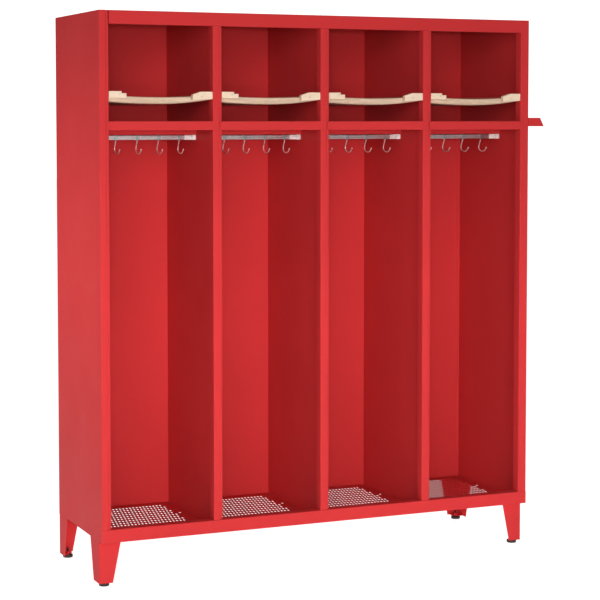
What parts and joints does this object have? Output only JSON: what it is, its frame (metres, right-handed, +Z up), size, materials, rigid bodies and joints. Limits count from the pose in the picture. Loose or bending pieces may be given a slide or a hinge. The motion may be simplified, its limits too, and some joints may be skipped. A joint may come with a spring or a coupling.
{
  "type": "open wardrobe locker",
  "caption": "Doorless steel wardrobe locker on tapered legs: open bays side by side, each with a hat shelf, wooden helmet rest, sliding coat hooks and perforated floor.",
  "frame": {"origin": "on the floor, at the middle of the whole outline with the joining tab included, so the cabinet itself is centred 31 mm to the left of the origin", "axes": "+Z up, +Y towards the back (the wall), -Y the open front, +X to the right seen from the front"},
  "size_m": [1.622, 0.5, 1.85],
  "materials": {
    "red_powder_coat": "satin flame-red powder coat, fine orange-peel",
    "beech": "clear-lacquered light beech",
    "galvanised_steel": "bright galvanised, satin",
    "bright_wire": "bright zinc-plated wire",
    "black_plastic": "black moulded plastic, fine grain"
  },
  "bodies": {
    "cabinet": {"side_panel_left": "red_powder_coat", "side_panel_right": "red_powder_coat", "top_panel": "red_powder_coat", "rear_panel": "red_powder_coat", "frame_stile_left": "red_powder_coat", "frame_stile_right": "red_powder_coat", "frame_top_rail": "red_powder_coat", "frame_bottom_rail": "red_powder_coat", "partition_1": "red_powder_coat", "partition_2": "red_powder_coat", "partition_3": "red_powder_coat", "floor_panel_1": "red_powder_coat", "shelf_1": "red_powder_coat", "helmet_rest_1": "beech", "rest_cleat_left_1": "beech", "rest_cleat_right_1": "beech", "hook_rail_1": "galvanised_steel", "floor_panel_2": "red_powder_coat", "shelf_2": "red_powder_coat", "helmet_rest_2": "beech", "rest_cleat_left_2": "beech", "rest_cleat_right_2": "beech", "hook_rail_2": "galvanised_steel", "floor_panel_3": "red_powder_coat", "shelf_3": "red_powder_coat", "helmet_rest_3": "beech", "rest_cleat_left_3": "beech", "rest_cleat_right_3": "beech", "hook_rail_3": "galvanised_steel", "floor_panel_4": "red_powder_coat", "shelf_4": "red_powder_coat", "helmet_rest_4": "beech", "rest_cleat_left_4": "beech", "rest_cleat_right_4": "beech", "hook_rail_4": "galvanised_steel", "leg_front_left": "red_powder_coat", "leg_front_right": "red_powder_coat", "leg_back_left": "red_powder_coat", "leg_back_right": "red_powder_coat", "joining_tab": "red_powder_coat"},
    "hook_1_1": {"hook_1_1": "bright_wire"},
    "hook_1_2": {"hook_1_2": "bright_wire"},
    "hook_1_3": {"hook_1_3": "bright_wire"},
    "hook_1_4": {"hook_1_4": "bright_wire"},
    "hook_2_1": {"hook_2_1": "bright_wire"},
    "hook_2_2": {"hook_2_2": "bright_wire"},
    "hook_2_3": {"hook_2_3": "bright_wire"},
    "hook_2_4": {"hook_2_4": "bright_wire"},
    "hook_3_1": {"hook_3_1": "bright_wire"},
    "hook_3_2": {"hook_3_2": "bright_wire"},
    "hook_3_3": {"hook_3_3": "bright_wire"},
    "hook_3_4": {"hook_3_4": "bright_wire"},
    "hook_4_1": {"hook_4_1": "bright_wire"},
    "hook_4_2": {"hook_4_2": "bright_wire"},
    "hook_4_3": {"hook_4_3": "bright_wire"},
    "hook_4_4": {"hook_4_4": "bright_wire"},
    "foot_front_left": {"foot_front_left": "black_plastic"},
    "foot_front_right": {"foot_front_right": "black_plastic"},
    "foot_back_left": {"foot_back_left": "black_plastic"},
    "foot_back_right": {"foot_back_right": "black_plastic"}
  },
  "joints": [
    {"name": "hook_1_1_slide", "type": "slide", "parent": "cabinet", "child": "hook_1_1", "axis": [1, 0, 0], "range_m": [-0.028, 0.028]},
    {"name": "hook_1_2_slide", "type": "slide", "parent": "cabinet", "child": "hook_1_2", "axis": [1, 0, 0], "range_m": [-0.028, 0.028]},
    {"name": "hook_1_3_slide", "type": "slide", "parent": "cabinet", "child": "hook_1_3", "axis": [1, 0, 0], "range_m": [-0.028, 0.028]},
    {"name": "hook_1_4_slide", "type": "slide", "parent": "cabinet", "child": "hook_1_4", "axis": [1, 0, 0], "range_m": [-0.028, 0.028]},
    {"name": "hook_2_1_slide", "type": "slide", "parent": "cabinet", "child": "hook_2_1", "axis": [1, 0, 0], "range_m": [-0.028, 0.028]},
    {"name": "hook_2_2_slide", "type": "slide", "parent": "cabinet", "child": "hook_2_2", "axis": [1, 0, 0], "range_m": [-0.028, 0.028]},
    {"name": "hook_2_3_slide", "type": "slide", "parent": "cabinet", "child": "hook_2_3", "axis": [1, 0, 0], "range_m": [-0.028, 0.028]},
    {"name": "hook_2_4_slide", "type": "slide", "parent": "cabinet", "child": "hook_2_4", "axis": [1, 0, 0], "range_m": [-0.028, 0.028]},
    {"name": "hook_3_1_slide", "type": "slide", "parent": "cabinet", "child": "hook_3_1", "axis": [1, 0, 0], "range_m": [-0.028, 0.028]},
    {"name": "hook_3_2_slide", "type": "slide", "parent": "cabinet", "child": "hook_3_2", "axis": [1, 0, 0], "range_m": [-0.028, 0.028]},
    {"name": "hook_3_3_slide", "type": "slide", "parent": "cabinet", "child": "hook_3_3", "axis": [1, 0, 0], "range_m": [-0.028, 0.028]},
    {"name": "hook_3_4_slide", "type": "slide", "parent": "cabinet", "child": "hook_3_4", "axis": [1, 0, 0], "range_m": [-0.028, 0.028]},
    {"name": "hook_4_1_slide", "type": "slide", "parent": "cabinet", "child": "hook_4_1", "axis": [1, 0, 0], "range_m": [-0.028, 0.028]},
    {"name": "hook_4_2_slide", "type": "slide", "parent": "cabinet", "child": "hook_4_2", "axis": [1, 0, 0], "range_m": [-0.028, 0.028]},
    {"name": "hook_4_3_slide", "type": "slide", "parent": "cabinet", "child": "hook_4_3", "axis": [1, 0, 0], "range_m": [-0.028, 0.028]},
    {"name": "hook_4_4_slide", "type": "slide", "parent": "cabinet", "child": "hook_4_4", "axis": [1, 0, 0], "range_m": [-0.028, 0.028]},
    {"name": "foot_front_left_screw", "type": "slide", "parent": "cabinet", "child": "foot_front_left", "axis": [0, 0, -1], "range_m": [0, 0.012]},
    {"name": "foot_front_right_screw", "type": "slide", "parent": "cabinet", "child": "foot_front_right", "axis": [0, 0, -1], "range_m": [0, 0.012]},
    {"name": "foot_back_left_screw", "type": "slide", "parent": "cabinet", "child": "foot_back_left", "axis": [0, 0, -1], "range_m": [0, 0.012]},
    {"name": "foot_back_right_screw", "type": "slide", "parent": "cabinet", "child": "foot_back_right", "axis": [0, 0, -1], "range_m": [0, 0.012]}
  ]
}
